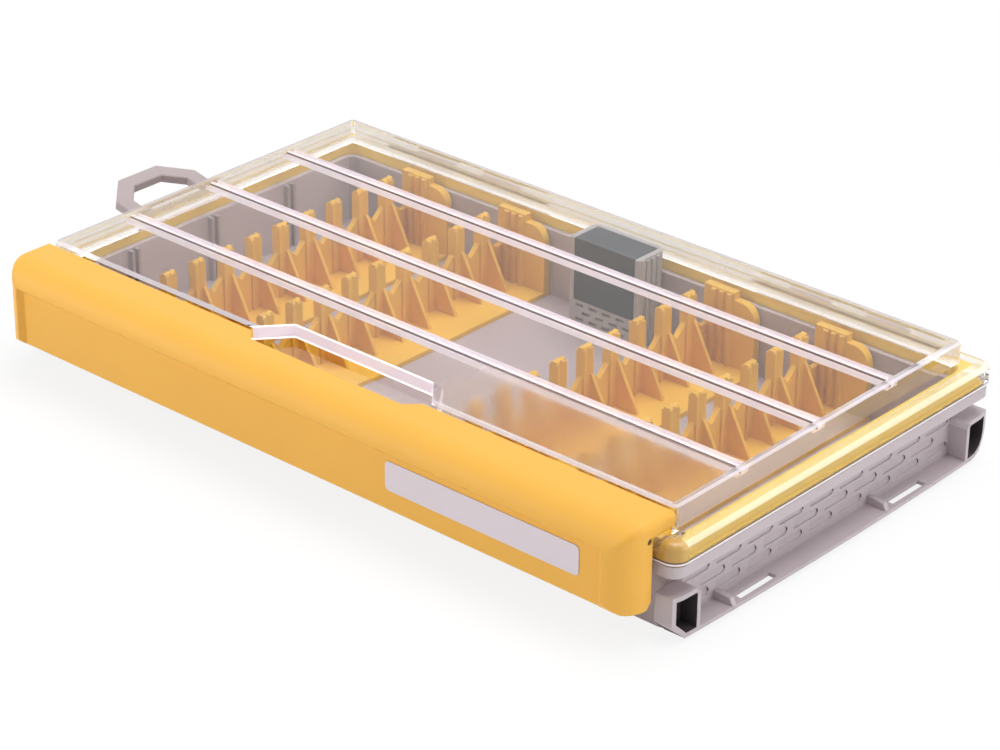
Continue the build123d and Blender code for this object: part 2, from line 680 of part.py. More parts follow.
def make_carry_loop():
    """The flat eight-sided loop with its hinge barrel."""
    def ring(width, near, far, corner):
        half = width / 2
        return [(near, -half), (far + corner, -half), (far, -half + corner),
                (far, half - corner), (far + corner, half), (near, half)]
    far = loop_x - loop_reach
    low = loop_height - loop_thick / 2
    near = loop_x - loop_barrel - 0.6
    loop = upright(ring(loop_width, near, far, loop_corner), low, low + loop_thick)
    inner_corner = loop_corner - loop_bar * (2 - math.sqrt(2))
    hole = ring(loop_width - 2 * loop_bar, near - 4.0, far + loop_bar, inner_corner)
    loop -= upright(hole, low - 1, low + loop_thick + 1)
    loop = chamfer(loop.edges().group_by(Axis.Z)[-1], 0.4)
    half = barrel_len / 2
    loop += slab(near - 0.5, loop_x, -half, half, low, low + loop_thick)
    loop += rod_y(loop_barrel, -half, half, loop_x, loop_height)
    loop -= rod_y(pin_radius + pin_clear, -half - 1, half + 1, loop_x, loop_height)
    tilted = Pos(loop_x, 0, loop_height) * Rot(0, loop_tilt, 0) * Pos(-loop_x, 0, -loop_height)
    return tilted * loop


def make_loop_pin():
    """The pin of the carry loop."""
    half = barrel_len / 2 + ear_play + ear_thick
    return rod_y(pin_radius, -half, half, loop_x, loop_height)


def save(solid, name):
    """Writes one sub-part."""
    solid.label = name
    export_step(solid, f"parts/{name}.step")


os.makedirs("parts", exist_ok=True)
save(make_base_tray(), "base_tray")
save(make_lid(), "lid")
save(make_lid_gasket(), "lid_gasket")
save(make_front_latch(), "front_latch")
save(make_latch_label(), "latch_label")
save(make_latch_pin(-1), "latch_pin_left")
save(make_latch_pin(1), "latch_pin_right")
save(make_hinge_pin(-1), "hinge_pin_left")
save(make_hinge_pin(1), "hinge_pin_right")
for number, bay in enumerate(rack_bays, start=1):
    save(make_jig_rack(rack_first + bay * rack_pitch), f"jig_rack_{number}")
save(make_block_housing(), "block_housing")
save(make_block_cover(), "block_cover")
save(make_block_label(), "block_label")
save(make_desiccant_pack(), "desiccant_pack")
save(make_carry_loop(), "carry_loop")
save(make_loop_pin(), "loop_pin")
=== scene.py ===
import math

import bpy
from mathutils import Matrix, Vector


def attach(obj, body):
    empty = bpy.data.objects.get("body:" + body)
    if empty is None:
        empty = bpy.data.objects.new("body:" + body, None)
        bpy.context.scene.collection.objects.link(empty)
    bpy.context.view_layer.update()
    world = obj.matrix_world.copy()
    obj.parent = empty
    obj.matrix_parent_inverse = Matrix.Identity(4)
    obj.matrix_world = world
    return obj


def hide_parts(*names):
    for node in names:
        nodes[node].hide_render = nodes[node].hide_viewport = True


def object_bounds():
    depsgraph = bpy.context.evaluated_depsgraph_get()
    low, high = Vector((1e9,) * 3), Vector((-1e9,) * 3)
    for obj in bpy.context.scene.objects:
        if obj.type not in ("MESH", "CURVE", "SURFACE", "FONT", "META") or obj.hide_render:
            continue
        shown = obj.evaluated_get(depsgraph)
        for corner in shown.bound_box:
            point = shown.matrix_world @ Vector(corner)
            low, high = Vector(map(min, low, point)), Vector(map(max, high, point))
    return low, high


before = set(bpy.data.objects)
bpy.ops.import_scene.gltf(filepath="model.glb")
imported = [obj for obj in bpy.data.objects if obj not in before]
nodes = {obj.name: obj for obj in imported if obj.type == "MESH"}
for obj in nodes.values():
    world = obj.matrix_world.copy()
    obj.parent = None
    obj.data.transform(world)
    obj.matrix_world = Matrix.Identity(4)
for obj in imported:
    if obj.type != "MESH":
        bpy.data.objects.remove(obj)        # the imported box: tray, lid, latch, racks and the rest
cadLow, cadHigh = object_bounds()
bpy.ops.object.select_all(action='DESELECT')
print("jig box: frame loaded,", len(nodes), "nodes")


# ---- small helpers for node trees

def toLinear(rgb):       # colours below are written as 0 to 255 screen values
    shares = [value / 255 for value in rgb]
    return [s / 12.92 if s <= 0.04045 else ((s + 0.055) / 1.055) ** 2.4 for s in shares] + [1.0]


def makeGroup(name, inputs, outputs):
    group = bpy.data.node_groups.new(name, 'ShaderNodeTree')
    for label, kind, value in inputs:
        socket = group.interface.new_socket(name=label, in_out='INPUT', socket_type=kind)
        if value is not None:
            socket.default_value = value
    for label, kind in outputs:
        group.interface.new_socket(name=label, in_out='OUTPUT', socket_type=kind)
    start = group.nodes.new('NodeGroupInput')
    end = group.nodes.new('NodeGroupOutput')
    return group, start, end


def addMath(tree, operation, first, second, clamp=False):
    node = tree.nodes.new('ShaderNodeMath')
    node.operation = operation
    node.use_clamp = clamp
    for index, value in enumerate((first, second)):
        if hasattr(value, "is_output"):
            tree.links.new(value, node.inputs[index])
        else:
            node.inputs[index].default_value = value
    return node.outputs[0]


def addMix(tree, factor, first, second, blend='MIX'):
    node = tree.nodes.new('ShaderNodeMix')
    node.data_type = 'RGBA'
    node.blend_type = blend
    for socket, value in ((node.inputs[0], factor), (node.inputs[6], first), (node.inputs[7], second)):
        if hasattr(value, "is_output"):
            tree.links.new(value, socket)
        else:
            socket.default_value = value
    return node.outputs[2]


# ---- moulded plastic: fine spark-eroded grain, soft flow clouding, rounded edges in the shading normal and a painted highlight along those edges

def makeMouldedGroup():
    group, start, end = makeGroup("mouldedSurface", [
        ("Color", 'NodeSocketColor', (0.8, 0.8, 0.8, 1)),
        ("Edge Highlight Color", 'NodeSocketColor', (1, 1, 1, 1)),
        ("Edge Highlight Amount", 'NodeSocketFloat', 0.3),
        ("Edge Width", 'NodeSocketFloat', 0.0004),
        ("Grain Size", 'NodeSocketFloat', 2600.0),
        ("Clouding", 'NodeSocketFloat', 0.06),
        ("Roughness", 'NodeSocketFloat', 0.4),
    ], [("Color", 'NodeSocketColor'), ("Roughness", 'NodeSocketFloat'),
        ("Height", 'NodeSocketFloat'), ("Normal", 'NodeSocketVector')])
    place = group.nodes.new('ShaderNodeTexCoord').outputs['Object']
    grain = group.nodes.new('ShaderNodeTexNoise')
    grain.inputs['Detail'].default_value = 3
    group.links.new(place, grain.inputs['Vector'])
    group.links.new(start.outputs['Grain Size'], grain.inputs['Scale'])
    cloud = group.nodes.new('ShaderNodeTexNoise')
    cloud.inputs['Scale'].default_value = 34
    cloud.inputs['Detail'].default_value = 4
    group.links.new(place, cloud.inputs['Vector'])
    bevel = group.nodes.new('ShaderNodeBevel')
    bevel.samples = 4
    group.links.new(start.outputs['Edge Width'], bevel.inputs['Radius'])
    trueNormal = group.nodes.new('ShaderNodeNewGeometry').outputs['Normal']
    likeness = group.nodes.new('ShaderNodeVectorMath')
    likeness.operation = 'DOT_PRODUCT'
    group.links.new(bevel.outputs[0], likeness.inputs[0])
    group.links.new(trueNormal, likeness.inputs[1])
    turn = addMath(group, 'SUBTRACT', 1.0, likeness.outputs['Value'])
    # painted highlight: the edge colour is mixed in where the bevelled normal turns away from the true normal
    edge = addMath(group, 'MULTIPLY', addMath(group, 'MULTIPLY', turn, 5.0, True), start.outputs['Edge Highlight Amount'], True)
    shade = addMath(group, 'MULTIPLY', addMath(group, 'SUBTRACT', cloud.outputs[0], 0.5), start.outputs['Clouding'])
    level = addMath(group, 'ADD', shade, 1.0)
    combine = group.nodes.new('ShaderNodeCombineColor')
    for socket in combine.inputs[:3]:
        group.links.new(level, socket)
    clouded = addMix(group, 1.0, start.outputs['Color'], combine.outputs[0], 'MULTIPLY')
    group.links.new(addMix(group, edge, clouded, start.outputs['Edge Highlight Color']), end.inputs['Color'])
    rough = addMath(group, 'ADD', start.outputs['Roughness'],
                    addMath(group, 'MULTIPLY', addMath(group, 'SUBTRACT', grain.outputs[0], 0.5), 0.12))
    group.links.new(rough, end.inputs['Roughness'])
    group.links.new(grain.outputs[0], end.inputs['Height'])
    group.links.new(bevel.outputs[0], end.inputs['Normal'])
    return group


mouldedSurface = makeMouldedGroup()


def mouldedMaterial(look):
    material = bpy.data.materials.new(look["name"])
    material.use_nodes = True
    tree = material.node_tree
    shader = tree.nodes['Principled BSDF']
    surface = tree.nodes.new('ShaderNodeGroup')
    surface.node_tree = mouldedSurface
    surface.inputs['Color'].default_value = toLinear(look["colour"])
    surface.inputs['Edge Highlight Color'].default_value = toLinear(look["edge"])
    surface.inputs['Edge Highlight Amount'].default_value = look["edgeHighlightAmount"]
    surface.inputs['Edge Width'].default_value = look["edgeWidth"]
    surface.inputs['Grain Size'].default_value = look["grain"]
    surface.inputs['Clouding'].default_value = look["clouding"]
    surface.inputs['Roughness'].default_value = look["roughness"]
    bump = tree.nodes.new('ShaderNodeBump')
    bump.inputs['Strength'].default_value = look["bump"]
    bump.inputs['Distance'].default_value = 0.0002
    tree.links.new(surface.outputs['Height'], bump.inputs['Height'])
    tree.links.new(surface.outputs['Normal'], bump.inputs['Normal'])
    tree.links.new(bump.outputs[0], shader.inputs['Normal'])
    tree.links.new(surface.outputs['Color'], shader.inputs['Base Color'])
    tree.links.new(surface.outputs['Roughness'], shader.inputs['Roughness'])
    shader.inputs['IOR'].default_value = 1.49
    shader.inputs['Specular IOR Level'].default_value = look.get("sheen", 0.5)
    shader.inputs['Subsurface Weight'].default_value = look["glow"]
    shader.inputs['Subsurface Radius'].default_value = look.get("glowReach", (0.004, 0.002, 0.0006))
    shader.inputs['Subsurface Scale'].default_value = 1.0
    return material


# each look's edge colour and amount paint a highlight along its rounded edges
amberLook = {"name": "amberPlastic", "colour": (247, 187, 84), "edge": (255, 214, 124), "edgeHighlightAmount": 0.45,
             "edgeWidth": 0.0005, "grain": 2400, "clouding": 0.07, "roughness": 0.42, "bump": 0.18, "glow": 0.1,
             "sheen": 0.22}
rackLook = dict(amberLook, name="rackPlastic", colour=(241, 191, 74), roughness=0.36, grain=1500,
                bump=0.1, edgeWidth=0.0004)
trayLook = {"name": "trayPlastic", "colour": (199, 187, 191), "edge": (224, 216, 220), "edgeHighlightAmount": 0.4,
            "edgeWidth": 0.0004, "grain": 1700, "clouding": 0.08, "roughness": 0.5, "bump": 0.35, "glow": 0.0}
loopLook = dict(trayLook, name="loopPlastic", colour=(180, 166, 167), edge=(204, 192, 193), bump=0.2)
blockLook = dict(trayLook, name="blockPlastic", colour=(176, 172, 170), edge=(205, 202, 200), roughness=0.42,
                 bump=0.15)
labelLook = {"name": "writeOnFilm", "colour": (228, 217, 224), "edge": (238, 230, 234), "edgeHighlightAmount": 0.2,
             "edgeWidth": 0.0002, "grain": 3600, "clouding": 0.05, "roughness": 0.62, "bump": 0.08, "glow": 0.0}
blockLabelLook = dict(labelLook, name="printedFilm", colour=(50, 54, 58), edge=(92, 96, 100), roughness=0.45)
sealLook = {"name": "sealRubber", "colour": (250, 214, 96), "edge": (255, 240, 180), "edgeHighlightAmount": 0.3,
            "edgeWidth": 0.0004, "grain": 2200, "clouding": 0.04, "roughness": 0.48, "bump": 0.1, "glow": 0.1}
pinLook = {"name": "dryPinPlastic", "colour": (88, 76, 66), "edge": (120, 108, 96), "edgeHighlightAmount": 0.2,
           "edgeWidth": 0.0002, "grain": 2200, "clouding": 0.04, "roughness": 0.45, "bump": 0.1, "glow": 0.0}
packLook = {"name": "dryingPackCloth", "colour": (222, 222, 216), "edge": (236, 236, 230), "edgeHighlightAmount": 0.2,
            "edgeWidth": 0.0003, "grain": 900, "clouding": 0.14, "roughness": 0.85, "bump": 0.6, "glow": 0.0}


# ---- drawn wire of the hinge pins: fine lines round the wire

def wireMaterial(look):
    material = bpy.data.materials.new(look["name"])
    material.use_nodes = True
    tree = material.node_tree
    shader = tree.nodes['Principled BSDF']
    place = tree.nodes.new('ShaderNodeTexCoord').outputs['Object']
    lines = tree.nodes.new('ShaderNodeTexNoise')
    lines.inputs['Scale'].default_value = look["lines"]
    lines.inputs['Detail'].default_value = 4
    stretch = tree.nodes.new('ShaderNodeMapping')
    stretch.inputs['Scale'].default_value = (0.03, 1, 1)
    tree.links.new(place, stretch.inputs['Vector'])
    tree.links.new(stretch.outputs[0], lines.inputs['Vector'])
    level = addMath(tree, 'ADD', addMath(tree, 'MULTIPLY', lines.outputs[0], 0.2), look["roughness"])
    tree.links.new(level, shader.inputs['Roughness'])
    tone = addMix(tree, lines.outputs[0], toLinear(look["colour"]), toLinear(look["dark"]))
    tree.links.new(tone, shader.inputs['Base Color'])
    shader.inputs['Metallic'].default_value = 1.0
    return material


wireLook = {"name": "drawnWire", "colour": (200, 200, 204), "dark": (150, 150, 154), "lines": 4200, "roughness": 0.24}


# ---- clear lid: polished, with a frosted field in front of the right compartment

lidLook = {"name": "clearPlastic", "tint": (252, 251, 252), "frostTint": (255, 251, 247), "ior": 1.12,
           "polish": 0.012, "frost": 0.42, "frostLow": (0.030, -0.0685), "frostHigh": (0.1285, -0.0395),
           "frostFade": 0.012, "frostEdge": 0.0004, "frostDepth": (0.0035, 0.0015), "drift": 55, "grain": 1300,
           "coat": 0.45, "coatIor": 1.49, "shadow": (0.46, 0.445, 0.435, 1)}


def clearMaterial(look):
    material = bpy.data.materials.new(look["name"])
    material.use_nodes = True
    tree = material.node_tree
    shader = tree.nodes['Principled BSDF']
    output = tree.nodes['Material Output']
    place = tree.nodes.new('ShaderNodeTexCoord').outputs['Object']
    axes = tree.nodes.new('ShaderNodeSeparateXYZ')
    tree.links.new(place, axes.inputs[0])
    drift = tree.nodes.new('ShaderNodeTexNoise')
    drift.inputs['Scale'].default_value = look["drift"]
    tree.links.new(place, drift.inputs['Vector'])
    wander = addMath(tree, 'MULTIPLY', addMath(tree, 'SUBTRACT', drift.outputs[0], 0.5), look["frostFade"] * 2.2)
    along = addMath(tree, 'ADD', axes.outputs[0], wander)

    def ramp(value, low, high):        # 0 below low, 1 above high
        node = tree.nodes.new('ShaderNodeMapRange')
        node.inputs['From Min'].default_value = low
        node.inputs['From Max'].default_value = high
        tree.links.new(value, node.inputs['Value'])
        return node.outputs[0]

    lowX, lowY = look["frostLow"]
    highX, highY = look["frostHigh"]
    edge = look["frostEdge"]
    deep, shallow = look["frostDepth"]
    mask = addMath(tree, 'MULTIPLY', ramp(along, lowX - look["frostFade"], lowX + look["frostFade"]),
                   ramp(axes.outputs[0], highX + edge, highX - edge))
    mask = addMath(tree, 'MULTIPLY', mask, ramp(axes.outputs[1], lowY - edge, lowY + edge))
    mask = addMath(tree, 'MULTIPLY', mask, ramp(axes.outputs[1], highY + edge, highY - edge))
    mask = addMath(tree, 'MULTIPLY', mask, ramp(axes.outputs[2], cadHigh.z - deep, cadHigh.z - shallow))
    rough = addMath(tree, 'ADD', addMath(tree, 'MULTIPLY', mask, look["frost"]), look["polish"])
    tree.links.new(rough, shader.inputs['Roughness'])
    fine = tree.nodes.new('ShaderNodeTexNoise')
    fine.inputs['Scale'].default_value = look["grain"]
    fine.inputs['Detail'].default_value = 3
    tree.links.new(place, fine.inputs['Vector'])
    bump = tree.nodes.new('ShaderNodeBump')
    bump.inputs['Distance'].default_value = 0.0001
    bump.inputs['Strength'].default_value = 0.5
    tree.links.new(addMath(tree, 'MULTIPLY', mask, fine.outputs[0]), bump.inputs['Height'])
    tree.links.new(bump.outputs[0], shader.inputs['Normal'])
    tint = addMix(tree, mask, toLinear(look["tint"]), toLinear(look["frostTint"]))
    tree.links.new(tint, shader.inputs['Base Color'])
    shader.inputs['Transmission Weight'].default_value = 1.0
    shader.inputs['IOR'].default_value = look["ior"]
    shader.inputs['Coat Weight'].default_value = look["coat"]
    shader.inputs['Coat Roughness'].default_value = 0.02
    shader.inputs['Coat IOR'].default_value = look["coatIor"]
    rays = tree.nodes.new('ShaderNodeLightPath')
    through = tree.nodes.new('ShaderNodeBsdfTransparent')        # lets the lamps into the box
    through.inputs['Color'].default_value = look["shadow"]
    mixer = tree.nodes.new('ShaderNodeMixShader')
    tree.links.new(rays.outputs['Is Shadow Ray'], mixer.inputs[0])
    tree.links.new(shader.outputs[0], mixer.inputs[1])
    tree.links.new(through.outputs[0], mixer.inputs[2])
    tree.links.new(mixer.outputs[0], output.inputs['Surface'])
    return material


# ---- every node of the frame gets its finish

finishes = {
    "base_tray": mouldedMaterial(trayLook),
    "lid": clearMaterial(lidLook),
    "lid_gasket": mouldedMaterial(sealLook),
    "front_latch": mouldedMaterial(amberLook),
    "latch_label": mouldedMaterial(labelLook),
    "latch_pin": mouldedMaterial(pinLook),
    "hinge_pin": wireMaterial(wireLook),
    "jig_rack": mouldedMaterial(rackLook),
    "block_housing": mouldedMaterial(blockLook),
    "block_label": mouldedMaterial(blockLabelLook),
    "desiccant_pack": mouldedMaterial(packLook),
    "carry_loop": mouldedMaterial(loopLook),
}
finishes["block_cover"] = finishes["block_housing"]
finishes["loop_pin"] = finishes["hinge_pin"]

for nodeName, piece in nodes.items():
    kinds = [key for key in finishes if nodeName.startswith(key)]
    piece.data.materials.clear()
    piece.data.materials.append(finishes[max(kinds, key=len)])
print("jig box: finishes assigned")


# ---- the tray is dressed as a copy: painted shade in the tube mouths, on the hooks' sides and on its inside faces, a painted highlight on the hooks' upward ledges, and the rim's sharper underside

# painted shade: near-black tube mouths, for the shade deep in the tubes
shadeLook = dict(trayLook, name="tubeShade", colour=(62, 54, 56), edge=(84, 76, 78), edgeHighlightAmount=0.2, roughness=0.7)
# painted shade on the sides of the brick pockets
hookLook = dict(trayLook, name="hookShade", colour=(112, 101, 104), edge=(132, 122, 125), edgeHighlightAmount=0.2)
# painted shade: the tray's inside faces a little darker than its outside
insideShadeLook = dict(trayLook, name="trayInsideShade", colour=(184, 171, 173), edge=(212, 203, 206))
# painted highlight on the brick pockets' upward ledges
stepLook = dict(trayLook, name="hookLight", colour=(222, 214, 218), edge=(236, 230, 232), edgeHighlightAmount=0.3)
trayDress = {"rimUnder": 0.0205, "rimLift": 0.0016, "tubeY": (0.0671, 0.0759), "tubeZ": (0.0029, 0.0146),
             "tubeX": 0.1311, "tubeEnd": 0.0004, "wallX": 0.1305, "hookDeep": 0.0005, "hookZ": (0.0045, 0.0168),
             "insideX": 0.1282, "insideY": 0.0695, "insideZ": (0.0015, 0.0262)}
hair = 0.00002        # faces and points closer than this lie on the same level


def copyNode(name, label):        # a merged copy of a node, in edit mode with everything selected
    source = nodes[name]
    bpy.ops.object.select_all(action='DESELECT')
    source.select_set(True)
    bpy.context.view_layer.objects.active = source
    bpy.ops.object.duplicate()
    piece = bpy.context.object
    piece.name = label
    bpy.ops.object.mode_set(mode='EDIT')
    bpy.ops.mesh.select_mode(type='FACE')
    bpy.ops.mesh.select_all(action='SELECT')
    bpy.ops.mesh.remove_doubles(threshold=0.000001)
    return piece


def fillSlots(piece, materials):        # gives a copy its materials and returns their slot numbers by name
    piece.data.materials.clear()
    for material in materials:
        piece.data.materials.append(material)
    return {material.name: index for index, material in enumerate(piece.data.materials)}


def dressTray(look):
    piece = copyNode("base_tray", "dressedTray")
    bpy.ops.object.mode_set(mode='OBJECT')
    for point in piece.data.vertices:
        if abs(point.co.z - look["rimUnder"]) < hair:
            point.co.z += look["rimLift"]
    extra = [mouldedMaterial(dress) for dress in (shadeLook, hookLook, stepLook, insideShadeLook)]
    slots = fillSlots(piece, [finishes["base_tray"]] + extra)

    def finishOf(part):
        x, y, z = abs(part.center.x), abs(part.center.y), part.center.z
        across = abs(part.normal.x)
        # painted shade on the faces inside the tray
        if x < look["insideX"] and y < look["insideY"] and look["insideZ"][0] < z < look["insideZ"][1]:
            return "trayInsideShade"
        onWall = look["wallX"] - look["hookDeep"] < x < look["wallX"] - hair
        # the pockets' upward ledges get a painted highlight, their other sides painted shade
        if onWall and look["hookZ"][0] < z < look["hookZ"][1] and across < 0.5:
            return "hookLight" if part.normal.z > 0.5 else "hookShade"
        # painted shade inside the tube mouths
        inTube = look["tubeY"][0] < y < look["tubeY"][1] and look["tubeZ"][0] < z < look["tubeZ"][1]
        if inTube and x > look["tubeX"] and (across < 0.3 or x < look["tubeX"] + look["tubeEnd"]):
            return "tubeShade"
        return "trayPlastic"

    for part in piece.data.polygons:
        part.material_index = slots[finishOf(part)]
    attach(piece, "base")
    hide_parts("base_tray")
    bpy.ops.object.select_all(action='DESELECT')
    print("jig box: tray dressed,", len(piece.data.polygons), "faces")


dressTray(trayDress)


# ---- the clear lid is dressed as a copy, with painted light on its cut edges, rails, walls, notch and flange: pale and dark colours, partial alpha and emission stand in for the clear plastic's highlights, reflections and dark lines

# painted highlight: a pale, faintly glowing band along the panel top's front edge; the other lid looks start from it
edgeLook = {"name": "litEdge", "colour": (222, 211, 218), "edge": (255, 252, 255), "edgeHighlightAmount": 0.9,
            "edgeWidth": 0.0004, "grain": 900, "clouding": 0.22, "roughness": 0.16, "bump": 0.12, "glow": 0.0,
            "sheen": 0.6}
# painted highlight: pale, glowing rail faces in place of the light caught inside the clear rails
railGlintLook = dict(edgeLook, name="railPaintedGlint", colour=(240, 232, 239))
# painted reflection: faint mottled amber on the panel's outer walls, for the racks showing in the clear plastic
wallReflectionLook = dict(edgeLook, name="wallPaintedReflection", colour=(246, 210, 160), edge=(250, 244, 246), edgeHighlightAmount=0.5, clouding=0.6)
# painted sheen: a pale yellow haze over the flange top
flangeSheenLook = dict(edgeLook, name="flangePaintedSheen", colour=(252, 232, 160), edge=(255, 250, 220), clouding=0.3)
# the finishes paint highlights, sheen, reflections and shade lines on the clear lid; the glow is emission
lidFinishes = [        # after the clear plastic itself: look, alpha, glow
    (edgeLook, 0.68, 0.12),
    (railGlintLook, 0.78, 0.32),
    (dict(railGlintLook, name="railUnderPaintedGlint"), 0.56, 0.3),
    # painted shade: a dark brown line in the slot between the rails and above the skirt's bottom edge
    (dict(edgeLook, name="paintedShadeLine", colour=(96, 72, 60), edge=(124, 100, 88), edgeHighlightAmount=0.3), 0.9, 0.0),
    # painted reflection, fainter on the right wall and stronger on the left and back walls
    (wallReflectionLook, 0.16, 0.0),
    (dict(wallReflectionLook, name="farWallPaintedReflection", colour=(250, 224, 166), edge=(255, 250, 240)), 0.36, 0.0),
    # painted glow: pale lavender notch walls, with brighter glowing lines at their top and bottom
    (dict(edgeLook, name="notchPaintedGlow", colour=(226, 215, 228)), 0.9, 0.6),
    (dict(edgeLook, name="notchHighlightLine", colour=(254, 250, 254)), 0.95, 1.0),
    # painted highlight on the panel's chamfer
    (dict(edgeLook, name="brightEdge", colour=(240, 232, 238)), 0.66, 0.08),
    # painted sheen: a whitish band along the panel top's sides and back
    (dict(edgeLook, name="rimPaintedSheen", colour=(204, 193, 198), clouding=0.4), 0.5, 0.0),
    (flangeSheenLook, 0.36, 0.0),
    # painted highlight: a white streak on the flange's rounded outer edge
    (dict(flangeSheenLook, name="flangePaintedHighlight", colour=(255, 249, 218), edge=(255, 254, 244)), 0.68, 0.04),
    # painted highlight: a white line along the skirt's bottom edge
    (dict(edgeLook, name="skirtHighlightLine", colour=(248, 242, 246)), 0.85, 0.1),
    # painted reflection: amber over the clear latch lugs, in place of their white reflections
    (dict(edgeLook, name="lugPaintedAmber", colour=(214, 172, 92), edge=(250, 232, 176)), 0.8, 0.0),
]
lidDress = {"panelX": 0.130, "panelFront": -0.06934, "panelBack": 0.0709, "top": 0.040, "band": 0.0021,
            "frontBand": 0.0010, "chamfer": 0.0007, "rails": (-0.0365, 0.0, 0.0365), "railReach": 0.0029,
            "railEnd": 0.0015, "railLow": 0.0361, "railHigh": 0.03802, "slotX": 0.00075, "shadeLineLow": 0.0368,
            "notchX": 0.0385, "notchRear": -0.0588, "notchLow": 0.0352, "notchHighlightLine": 0.0006, "lidX": 0.138,
            "lidY": 0.078, "flangeTop": 0.033, "flangeBand": 0.0042, "flangeRound": 0.0022, "skirtX": 0.1340,
            "skirtY": 0.0745, "skirtTop": 0.0312, "skirtHighlightLine": 0.0271, "skirtShade": 0.0276, "lugX": 0.1255,
            "lugY": -0.0725, "slack": 0.0001}


# painted glow: the look's colour is emitted at the glow strength
def litMaterial(look, alpha, glow=0.0):
    material = mouldedMaterial(look)
    shader = material.node_tree.nodes['Principled BSDF']
    shader.inputs['Alpha'].default_value = alpha
    shader.inputs['Emission Color'].default_value = toLinear(look["colour"])
    shader.inputs['Emission Strength'].default_value = glow
    return material


def bisectLid(point, normal, keep):        # cuts the faces that keep() picks
    bpy.ops.object.mode_set(mode='OBJECT')
    for part in bpy.context.object.data.polygons:
        part.select = keep(part)
    bpy.ops.object.mode_set(mode='EDIT')
    bpy.ops.mesh.bisect(plane_co=point, plane_no=normal)


def dressLid(look):
    piece = copyNode("lid", "clearLid")
    slack = look["slack"]

    def nearRail(part):
        x, y, z = part.center
        inside = look["railLow"] < z < look["railHigh"] and abs(x) < look["panelX"] - look["railEnd"]
        return inside and min(abs(y - row) for row in look["rails"]) < look["railReach"]

    def onTop(part):
        return part.center.z > look["top"] - slack

    def notchWall(part):
        middle = part.center
        return abs(middle.x) < look["notchX"] and middle.y < look["notchRear"] and abs(part.normal.z) < 0.2

    def onFlange(part):
        return abs(part.center.z - look["flangeTop"]) < 4 * slack and part.normal.z > 0.75

    def onSkirt(part):        # the skirt's outer face
        x, y, z = part.center
        outward = part.normal.x * x + part.normal.y * y > 0 and abs(part.normal.z) < 0.1
        beyond = abs(x) > look["skirtX"] or abs(y) > look["skirtY"]
        return outward and beyond and z < look["skirtTop"] and abs(y) < look["lidY"] + slack

    for side in (-1, 1):
        bisectLid((side * (look["panelX"] - look["band"]), 0, 0), (1, 0, 0), onTop)
    bisectLid((0, look["panelBack"] - look["band"], 0), (0, 1, 0), onTop)
    bisectLid((0, look["panelFront"] + look["chamfer"] + look["frontBand"], 0), (0, 1, 0), onTop)
    for level in (look["skirtHighlightLine"], look["skirtShade"]):
        bisectLid((0, 0, level), (0, 0, 1), onSkirt)
    for level in (look["notchLow"], look["notchLow"] + look["notchHighlightLine"], look["top"] - look["notchHighlightLine"]):
        bisectLid((0, 0, level), (0, 0, 1), notchWall)
    bisectLid((0, 0, look["shadeLineLow"]), (0, 0, 1), nearRail)
    for reach, axis in ((look["lidX"], (1, 0, 0)), (look["lidY"], (0, 1, 0))):
        for side in (-1, 1):
            bisectLid(Vector(axis) * side * (reach - look["flangeBand"]), axis, onFlange)
    bpy.ops.object.mode_set(mode='OBJECT')
    slots = fillSlots(piece, [finishes["lid"]] + [litMaterial(*finish) for finish in lidFinishes])

    # painted highlights, sheen and reflections on the raised panel's rim, edges and outer walls
    def panelFinish(part):        # the raised panel's rim, edges and outer walls
        x, y, z = part.center
        up = part.normal.z
        if z > look["top"] - look["chamfer"] - hair and 0.3 < up < 0.95:
            return "brightEdge"
        if onTop(part):
            if abs(x) > look["panelX"] - look["band"] or y > look["panelBack"] - look["band"]:
                return "rimPaintedSheen"
            if y < look["panelFront"] + look["chamfer"] + look["frontBand"]:
                return "litEdge"
        wall = abs(x) > look["panelX"] - slack or y > look["panelBack"] - slack
        outward = max(abs(part.normal.x), part.normal.y) > 0.8
        if wall and outward and look["flangeTop"] < z < look["top"] - look["chamfer"]:
            return "wallPaintedReflection" if x > look["panelX"] - slack else "farWallPaintedReflection"

    # the rails' faces get painted highlights, one slot face a painted shade line
    def railFinish(part):
        if abs(part.normal.z) > 0.5:
            return "railUnderPaintedGlint"
        offset = min((part.center.y - row for row in look["rails"]), key=abs)
        slot = part.normal.y > 0.5 and abs(offset + look["slotX"]) < slack
        return "paintedShadeLine" if slot and part.center.z > look["shadeLineLow"] else "railPaintedGlint"

    def finishOf(part):
        x, y, z = part.center
        up = part.normal.z
        if notchWall(part) and z > look["notchLow"]:
            line = z > look["top"] - look["notchHighlightLine"] or z < look["notchLow"] + look["notchHighlightLine"]
            return "notchHighlightLine" if line else "notchPaintedGlow"
        if nearRail(part):
            return railFinish(part)
        inPlan = abs(x) < look["panelX"] + slack and look["panelFront"] - slack < y < look["panelBack"] + slack
        finish = panelFinish(part) if inPlan else None
        if finish:
            return finish
        # the skirt's bottom edge: a painted highlight line under a painted shade line
        if onSkirt(part) and z < look["skirtShade"]:
            return "skirtHighlightLine" if z < look["skirtHighlightLine"] else "paintedShadeLine"
        # painted reflection on the latch lugs
        if y < look["lugY"] and abs(x) > look["lugX"]:
            return "lugPaintedAmber"
        outer = abs(x) > look["lidX"] - look["flangeBand"] or abs(y) > look["lidY"] - look["flangeBand"]
        if outer and not inPlan and z > look["flangeTop"] - look["flangeRound"] and 0.35 < up < 0.96:
            return "flangePaintedHighlight"
        return "flangePaintedSheen" if outer and onFlange(part) else "clearPlastic"

    for part in piece.data.polygons:
        part.material_index = slots[finishOf(part)]
    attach(piece, "lid")
    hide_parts("lid")
    bpy.ops.object.select_all(action='DESELECT')
    print("jig box: lid dressed,", len(piece.data.polygons), "faces")


dressLid(lidDress)


